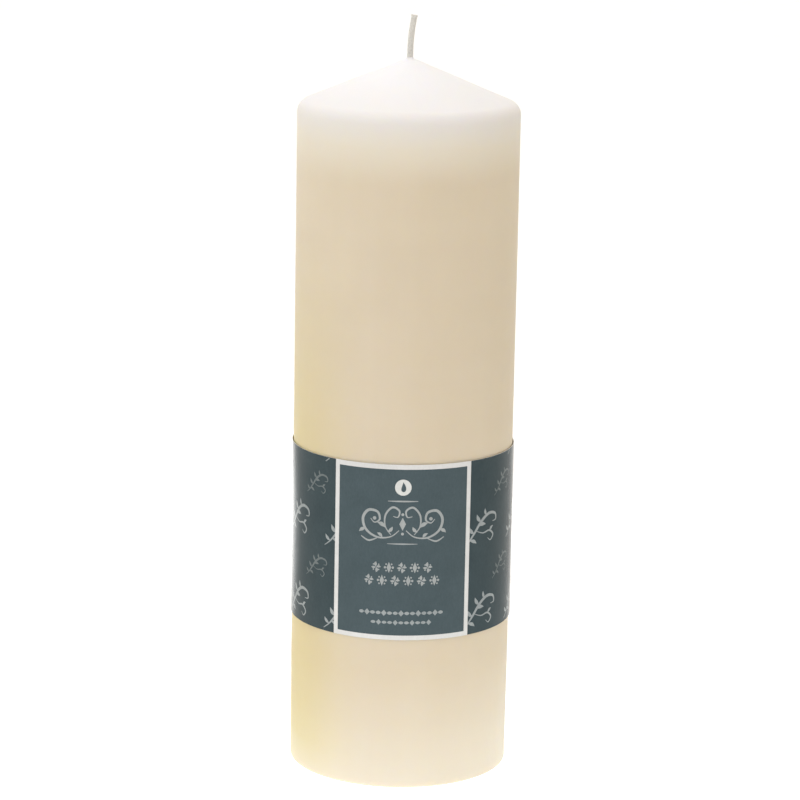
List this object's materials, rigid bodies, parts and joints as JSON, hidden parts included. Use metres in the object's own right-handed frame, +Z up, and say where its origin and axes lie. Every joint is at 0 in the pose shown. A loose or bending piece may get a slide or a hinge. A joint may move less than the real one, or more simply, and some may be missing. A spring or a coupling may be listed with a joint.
{
  "type": "pillar candle",
  "caption": "Ivory pillar candle with a low conical top, a braided wick and a removable printed paper band.",
  "frame": {"origin": "centre of the flat base, on the surface that the candle stands on", "axes": "+Z up along the candle, towards the wick; -Y is the front, where the label faces; +X is to the right of the label"},
  "size_m": [0.0789, 0.0792, 0.2676],
  "materials": {
    "core_wax": "matte",
    "coat_wax": "satin",
    "cotton": "matte",
    "tinned_steel": "satin",
    "band_paper": "satin",
    "adhesive": "matte",
    "label_paper": "satin"
  },
  "bodies": {
    "candle": {"wax_core": "core_wax", "wax_coat": "coat_wax", "wick": "cotton", "wick_sustainer": "tinned_steel"},
    "sleeve": {"paper_band": "band_paper", "seam_tape": "adhesive", "front_label": "label_paper"}
  },
  "joints": [
    {"name": "sleeve_slide", "type": "slide", "parent": "candle", "child": "sleeve", "axis": [0, 0, 1], "range_m": [-0.054, 0.215]}
  ]
}
